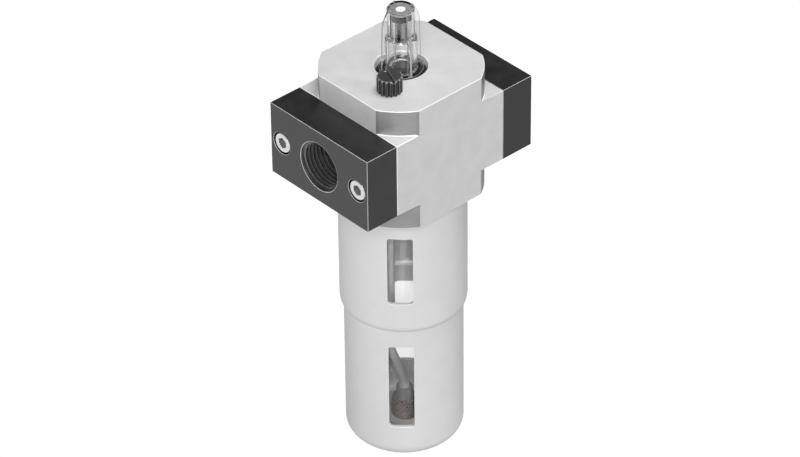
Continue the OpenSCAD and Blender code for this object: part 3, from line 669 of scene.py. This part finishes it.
def make_housing():
    housing = paint(cad_copy("housing_casting", "housing"), cast_metal, turned_metal, bored_metal, bright_edge)
    round_edges(housing, EDGE_ROUNDING)
    for face in housing.data.polygons:
        middle = face.center
        from_axis = math.hypot(middle.x, middle.y)
        on_lathe = abs(from_axis - TURNED_RADIUS) < TURNED_SPREAD and abs(face.normal.z) < UPRIGHT
        in_recess = from_axis < RECESS_RADIUS and CHAMBER_LOW < middle.z < HOUSING_HIGH.z - EDGE_ROUNDING
        # The chamber's bore and the recess floor take the painted shade.
        if in_recess and (from_axis < BORE_RADIUS or face.normal.z > LEVEL):
            face.material_index = 2
        elif face.material_index == 0 and on_lathe:
            face.material_index = 1
    shade(housing)
    hand_over(housing, "main", "cast_metal", "housing")


make_housing()

# %% [markdown]
# ## The connecting plates
# Each plate is a black block with a pipe thread, G 1/2: its crests lie on 18.63 mm, its roots on 20.96 mm, and it
# rises 1.814 mm a turn. The rounded outer edges carry a thin light line, a painted highlight. The thread is cut
# after the edges are rounded, so that it runs out through the chamfer as a tapped hole does.

# %% The connecting plates
PIPE_CREST, PIPE_DEPTH, PIPE_PITCH = 9.316 * MM, 1.162 * MM, 1.814 * MM
PLATE_ROUNDING = 0.15 * MM
QUARTER = math.pi / 2


def make_plate(node, side):
    low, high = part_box(node)
    plate = paint(cad_copy(f"{node}_threaded", node), black_plate, plate_edge)
    round_edges(plate, PLATE_ROUNDING)
    thickness = high.x - low.x
    inner = min(abs(low.x), abs(high.x))
    screw_thread.work(plate, Radius=PIPE_CREST, Depth=PIPE_DEPTH, Pitch=PIPE_PITCH, Start=inner - PIPE_PITCH,
                      Length=thickness + 2 * PIPE_PITCH, Side=1.0, Tilt=side * QUARTER, Place=tuple(PORT_AXIS),
                      Finish=cut_thread)
    shade(plate)
    hand_over(plate, "main", "black_plate", node)


make_plate("inlet_plate", -1)
make_plate("outlet_plate", 1)

# %% [markdown]
# ## The plate screws
# Four M5 socket head screws hold the plates. They are alike, so one is finished, with a rounded head and a real
# thread, and Geometry Nodes puts it in the four holes: two points a span apart on each side, each screw with its
# head outwards.

# %% The plate screws
SCREW_CREST, SCREW_DEPTH, SCREW_PITCH = 2.5 * MM, 0.45 * MM, 0.8 * MM
SCREW_ROUNDING = 0.18 * MM
SCREW_SPAN = 42.7 * MM
SOCKET_CORNER, SOCKET_DEPTH, SHANK_THREAD = 2.35 * MM, 2.7 * MM, 14 * MM


def one_screw():
    """One screw of the inlet plate, moved to the origin with the top of its head up."""
    screw = cad_copy("socket_screw", "inlet_plate_screws")
    shell = bmesh.new()
    shell.from_mesh(screw.data)
    bmesh.ops.delete(shell, geom=[v for v in shell.verts if v.co.y < 0], context="VERTS")
    top = min(v.co.x for v in shell.verts)
    to_origin = Matrix.Translation(-Vector((top, SCREW_SPAN / 2, PORT_AXIS.z)))
    bmesh.ops.transform(shell, matrix=Matrix.Rotation(QUARTER, 4, "Y") @ to_origin, verts=shell.verts)
    shell.to_mesh(screw.data)
    shell.free()
    return paint(screw, screw_steel)


def screw_bench():
    bench = Bench("four_screws", Screw=list, Span=float, Reach=float, Height=float)
    sheet = bench.sheet
    screw = sheet.add("GeometryNodeObjectInfo", feeds={"Object": bench["Screw"]})["Geometry"]
    sides = []
    for side in (-1, 1):
        start = vector(sheet, bench["Reach"] * side, bench["Span"] * -0.5, bench["Height"])
        pair = sheet.add("GeometryNodeMeshLine", feeds={
            "Count": 2, "Start Location": start, "Offset": vector(sheet, y=bench["Span"]),
        })["Mesh"]
        placed = sheet.add("GeometryNodeInstanceOnPoints", feeds={
            "Points": pair, "Instance": screw, "Rotation": (0.0, side * QUARTER, 0.0),
        })["Instances"]
        sides.append(placed)
    joined = sheet.add("GeometryNodeJoinGeometry")
    for placed in sides:
        sheet.feed(joined.node.inputs["Geometry"], placed)
    bench.close(joined["Geometry"], None)
    return bench


def make_screws():
    screw = round_edges(one_screw(), SCREW_ROUNDING)
    screw.data.materials.append(dark_socket)
    # The faces inside the hex socket take the painted shade.
    for face in screw.data.polygons:
        across = math.hypot(face.center.x, face.center.y)
        if across < SOCKET_CORNER and -SOCKET_DEPTH < face.center.z < -SCREW_ROUNDING:
            face.material_index = 1
    low = min(v.co.z for v in screw.data.vertices)
    screw_thread.work(screw, Radius=SCREW_CREST, Depth=SCREW_DEPTH, Pitch=SCREW_PITCH, Start=low - SCREW_PITCH,
                      Length=SHANK_THREAD, Side=-1.0, Tilt=0.0, Place=(0.0, 0.0, 0.0), Finish=screw_steel)
    shade(screw)
    reach = -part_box("inlet_plate_screws")[0].x
    screws = put("plate_screws", bpy.data.meshes.new("plate_screws"))
    screw_bench().work(screws, Screw=screw, Span=SCREW_SPAN, Reach=reach, Height=PORT_AXIS.z)
    bpy.data.objects.remove(screw)
    hand_over(screws, "main", "screw_steel", "inlet_plate_screws", "outlet_plate_screws")


make_screws()

# %% [markdown]
# ## The bowl guard
# The guard is a drawn cup with a soft shoulder, two pairs of windows and a threaded neck. It is round, so it is
# turned here from its half section with far finer steps than the solid has, because its satin side shows every
# facet. The windows follow one rule, a rounded rectangle pushed through both sides, so a small tree cuts them.

# %% The bowl guard
GUARD_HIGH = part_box("bowl_guard")[1]
GUARD_RADIUS = GUARD_HIGH.x
GUARD_LOW_RADIUS, GUARD_WALL, CREASE, SHOULDER, FOOT = 23.7 * MM, 1.6 * MM, 63.6 * MM, 3.2 * MM, 5.5 * MM
GUARD_TOP, NECK_RADIUS, NECK_WALL, NECK_TOP = 118.8 * MM, 23.6 * MM, 1.3 * MM, GUARD_HIGH.z
WINDOW_WIDTH, WINDOW_CORNER, WINDOW_TURN = 10.0 * MM, 1.3 * MM, math.radians(-135)
WINDOWS = {"upper": (77.8 * MM, 31.2 * MM), "lower": (15.7 * MM, 39.7 * MM)}
LATHE_STEPS, CURVE_STEPS = 192, 12
GUARD_ROUNDING, WINDOW_SHARP, WINDOW_REACH, CORNER_STEPS = 0.22 * MM, math.radians(50), 1.2, 6
NECK_THREAD_DEPTH, NECK_PITCH, NECK_THREAD_LOW, NECK_THREAD_LONG = 0.7 * MM, 2 * MM, 1.1 * MM, 8 * MM


def arc(middle, radius, start, end):
    """Points on a round stretch of a section, from one angle to another."""
    angles = [math.radians(start + (end - start) * i / CURVE_STEPS) for i in range(CURVE_STEPS + 1)]
    return [(middle[0] + radius * math.cos(a), middle[1] + radius * math.sin(a)) for a in angles]


def shoulder(low, high, base):
    """The soft step from the lower wall out to the upper one."""
    turns = [QUARTER * i / CURVE_STEPS for i in range(CURVE_STEPS + 1)]
    return [(low + (high - low) * math.sin(t), base + SHOULDER * (1 - math.cos(t))) for t in turns]


def lathe(name, section, steps=LATHE_STEPS):
    """A closed shell from a half section, given from the axis round the outside and back to the axis."""
    shell = bmesh.new()
    rings = []
    for radius, height in section:
        if radius < 0.001 * MM:
            rings.append([shell.verts.new((0, 0, height))])
            continue
        angles = [2 * math.pi * i / steps for i in range(steps)]
        rings.append([shell.verts.new((radius * math.cos(a), radius * math.sin(a), height)) for a in angles])
    for first, second in zip(rings, rings[1:]):
        for i in range(steps):
            j = (i + 1) % steps
            corners = [first[i % len(first)], first[j % len(first)],
                       second[j % len(second)], second[i % len(second)]]
            shell.faces.new(list(dict.fromkeys(corners)))
    bmesh.ops.recalc_face_normals(shell, faces=shell.faces)
    mesh = bpy.data.meshes.new(name)
    shell.to_mesh(mesh)
    shell.free()
    return put(name, mesh)


def guard_section():
    inner_low, inner_up = GUARD_LOW_RADIUS - GUARD_WALL, GUARD_RADIUS - GUARD_WALL
    inner_foot = FOOT - GUARD_WALL
    outside = [(0, 0)] + arc((GUARD_LOW_RADIUS - FOOT, FOOT), FOOT, -90, 0)
    outside += shoulder(GUARD_LOW_RADIUS, GUARD_RADIUS, CREASE)
    neck = [(GUARD_RADIUS, GUARD_TOP), (NECK_RADIUS, GUARD_TOP), (NECK_RADIUS, NECK_TOP),
            (NECK_RADIUS - NECK_WALL, NECK_TOP), (NECK_RADIUS - NECK_WALL, GUARD_TOP - GUARD_WALL),
            (inner_up, GUARD_TOP - GUARD_WALL)]
    inside = shoulder(inner_low, inner_up, CREASE)[::-1]
    inside += arc((inner_low - inner_foot, GUARD_WALL + inner_foot), inner_foot, 0, -90) + [(0, GUARD_WALL)]
    return outside + neck + inside


def window_bench():
    bench = Bench("window", Width=float, Height=float, Corner=float, Bottom=float, Turn=float, Reach=float)
    sheet = bench.sheet
    frame_curve = sheet.add("GeometryNodeCurvePrimitiveQuadrilateral", {"mode": "RECTANGLE"},
                            {"Width": bench["Width"], "Height": bench["Height"]})["Curve"]
    rounded = sheet.add("GeometryNodeFilletCurve", {"mode": "POLY"}, {
        "Curve": frame_curve, "Radius": bench["Corner"], "Count": CORNER_STEPS,
    })["Curve"]
    line = sheet.add("GeometryNodeCurvePrimitiveLine", feeds={
        "Start": vector(sheet, -bench["Reach"]), "End": vector(sheet, bench["Reach"]),
    })["Curve"]
    bar = sheet.add("GeometryNodeTransform", feeds={
        "Geometry": swept(sheet, line, rounded), "Rotation": vector(sheet, z=bench["Turn"]),
        "Translation": vector(sheet, z=bench["Bottom"] + bench["Height"] * 0.5),
    })["Geometry"]
    cut = sheet.add("GeometryNodeMeshBoolean", {"operation": "DIFFERENCE", "solver": "EXACT"},
                    {"Mesh 1": bench["Geometry"], "Mesh 2": bar})["Mesh"]
    bench.close(cut, None)
    return bench


def make_guard():
    guard = paint(lathe("bowl_guard_cup", guard_section()), guard_metal, bright_edge)
    cutter = window_bench()
    for bottom, height in WINDOWS.values():
        cutter.work(guard, Width=WINDOW_WIDTH, Height=height, Corner=WINDOW_CORNER, Bottom=bottom,
                    Turn=WINDOW_TURN, Reach=WINDOW_REACH * GUARD_RADIUS)
    # The window and rim roundings get the pale painted highlight.
    round_edges(guard, GUARD_ROUNDING, limit=WINDOW_SHARP)
    screw_thread.work(guard, Radius=NECK_RADIUS, Depth=NECK_THREAD_DEPTH, Pitch=NECK_PITCH,
                      Start=GUARD_TOP + NECK_THREAD_LOW, Length=NECK_THREAD_LONG, Side=-1.0, Tilt=0.0,
                      Place=(0.0, 0.0, 0.0), Finish=guard_metal)
    shade(guard)
    hand_over(guard, "guard", "guard_metal", "bowl_guard")


make_guard()

# %% [markdown]
# ## The riser tube
# Oil climbs through a plastic tube that comes down from the housing, slants to the middle of the bowl and ends in
# the foot valve. It is a round section on a path, so Geometry Nodes sweep it: the path's corners are filleted, and
# a Solidify then gives the tube its bore.

# %% The riser tube
TUBE_RADIUS, TUBE_WALL = 2.0 * MM, 0.7 * MM
TUBE_REACH, TUBE_TURN = 16.4 * MM, math.radians(-151)
TUBE_LOW, TUBE_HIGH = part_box("riser_tube")
TUBE_BEND, TUBE_FOOT = 49 * MM, 22.4 * MM
BEND_RADIUS, BEND_STEPS, RING_STEPS = 9 * MM, 10, 28


def tube_bench():
    bench = Bench("riser_tube", Radius=float, Bend=float, Finish=str)
    sheet = bench.sheet
    line = sheet.add("GeometryNodeMeshToCurve", feeds={"Mesh": bench["Geometry"]})["Curve"]
    soft = sheet.add("GeometryNodeFilletCurve", {"mode": "POLY"}, {
        "Curve": line, "Radius": bench["Bend"], "Limit Radius": True, "Count": BEND_STEPS,
    })["Curve"]
    ring = sheet.add("GeometryNodeCurvePrimitiveCircle", feeds={
        "Resolution": RING_STEPS, "Radius": bench["Radius"],
    })["Curve"]
    feeds = {"Curve": soft, "Profile Curve": ring, "Fill Caps": False}
    bench.close(sheet.add("GeometryNodeCurveToMesh", feeds=feeds)["Mesh"], bench["Finish"])
    return bench


def make_riser():
    out = Vector((math.cos(TUBE_TURN), math.sin(TUBE_TURN), 0)) * TUBE_REACH
    stops = [(out, TUBE_HIGH.z), (out, TUBE_BEND), (Vector(), TUBE_FOOT), (Vector(), TUBE_LOW.z)]
    route = bpy.data.meshes.new("riser")
    route.from_pydata([(p.x, p.y, z) for p, z in stops], [(0, 1), (1, 2), (2, 3)], [])
    riser = put("riser_pipe", route)
    tube_bench().work(riser, Radius=TUBE_RADIUS, Bend=BEND_RADIUS, Finish=riser_plastic)
    wall = riser.modifiers.new("wall", "SOLIDIFY")
    wall.thickness, wall.offset = TUBE_WALL, -1
    shade(applied(riser))
    hand_over(riser, "main", "riser_plastic", "riser_tube")


make_riser()

# %% [markdown]
# ## The metering knob and the sight dome
# Both are turned by hand. The knob is fluted black plastic; its rim and flute edges get a lighter grey as a painted
# highlight, its flat top a lighter grey as painted light, and its slot a darker black as painted shade. The dome is
# clear with four thin wings for the fingers. The copies of the solids get rounded edges, and the dome its thread.
# The wings' outer faces and the dome's rounded edges get an opaque pale grey as a painted highlight, and the flat
# top was left frosted by its mould. Each finish is given to the faces that it belongs to by their height, their
# distance from the axis and their slope.

# %% The metering knob and the sight dome
KNOB_ROUNDING, DOME_ROUNDING = 0.10 * MM, 0.08 * MM
KNOB_CHAMFER, SLOT_DEPTH = 0.5 * MM, 1.0 * MM
DOME_THREAD_RADIUS, DOME_BODY_RADIUS = 8 * MM, 6.6 * MM
DOME_THREAD_DEPTH, DOME_PITCH, DOME_THREAD_LONG = 0.45 * MM, 1 * MM, 8 * MM
SLOPE_LOW, SLOPE_HIGH, FLAT_TOP, OUTWARDS = 0.3, 0.95, 0.99, 0.5


def make_knob():
    knob = paint(cad_copy("knob_fluted", "metering_knob"), black_knob, knob_top, slot_black, knob_edge)
    round_edges(knob, KNOB_ROUNDING)
    low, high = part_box("metering_knob")
    middle, radius = (low + high) / 2, (high.x - low.x) / 2
    for face in knob.data.polygons:
        depth = high.z - face.center.z
        from_axis = math.hypot(face.center.x - middle.x, face.center.y - middle.y)
        # Rim chamfer and Bevel edges: painted highlight; flat top: painted light; slot: painted shade.
        if depth < KNOB_CHAMFER and SLOPE_LOW < face.normal.z < SLOPE_HIGH:
            face.material_index = 3
        elif depth < 0.1 * KNOB_CHAMFER and face.normal.z > SLOPE_HIGH:
            face.material_index = 1
        elif face.material_index == 0 and depth < SLOT_DEPTH + KNOB_ROUNDING and from_axis < radius - KNOB_CHAMFER:
            face.material_index = 2
    shade(knob)
    hand_over(knob, "knob", "black_knob", "metering_knob")


def make_dome():
    dome = paint(cad_copy("sight_dome_clear", "sight_dome"), clear_dome, frosted_top, worn_clear)
    round_edges(dome, DOME_ROUNDING)
    bottom, top = (corner.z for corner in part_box("sight_dome"))
    for face in dome.data.polygons:
        middle, normal = face.center, face.normal
        from_axis = math.hypot(middle.x, middle.y)
        outwards = (middle.x * normal.x + middle.y * normal.y) / max(from_axis, MM)
        # Frosted flat top; the wings' outer faces take the painted highlight grey.
        if normal.z > FLAT_TOP and middle.z > top - DOME_ROUNDING:
            face.material_index = 1
        elif from_axis > DOME_BODY_RADIUS and middle.z > HOUSING_HIGH.z and outwards > OUTWARDS:
            face.material_index = 2
    screw_thread.work(dome, Radius=DOME_THREAD_RADIUS, Depth=DOME_THREAD_DEPTH, Pitch=DOME_PITCH,
                      Start=bottom - DOME_PITCH, Length=DOME_THREAD_LONG, Side=-1.0, Tilt=0.0,
                      Place=(0.0, 0.0, 0.0), Finish=clear_dome)
    shade(dome)
    hand_over(dome, "dome", "clear_dome", "sight_dome")


make_knob()
make_dome()

# %% [markdown]
# ## The valve spring
# The ball of the pressure check rests on a small wire spring in its cage. When the ball is pushed down, the spring
# shortens under it while its lowest coil stays on the floor of the cage. Here the spring is a smooth-shaded copy of
# its solid, on the main body, with a mesh of its own.


def make_spring():
    spring = shade(paint(cad_copy("valve_spring_wire", "valve_spring"), spring_steel))
    hand_over(spring, "main", "spring_steel", "valve_spring")
    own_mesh(spring)


make_spring()

# %% [markdown]
# ## The pieces that keep their solid
# The rest are small, round or hidden, and their solids are already right. They only get their finish. A merged
# copy isn't needed for that: the material goes into the slot of the CAD object itself.

# %% The pieces that keep their solid
FINISHES = {
    "inlet_plate_seal": seal_rubber, "outlet_plate_seal": seal_rubber, "bowl_seal": seal_rubber,
    "dome_seal": seal_rubber, "drip_sleeve_seal": seal_rubber, "metering_seal": seal_rubber,
    "damper_flap": seal_rubber, "flow_insert": cream_plastic, "flap_retainer": screw_steel,
    "drip_jet": brass, "metering_needle": brass, "valve_cage": brass,
    "drip_sleeve": plated_sleeve, "drip_nozzle": white_plastic, "foot_valve": grey_plastic,
    "riser_ball": ball_steel, "valve_ball": ball_steel, "strainer": sintered_bronze,
    "bowl": clear_bowl, "slip_ring": slip_plastic,
}
for node, material in FINISHES.items():
    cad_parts[node].data.materials.clear()
    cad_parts[node].data.materials.append(material)
print("solids with a finish:", len(FINISHES))
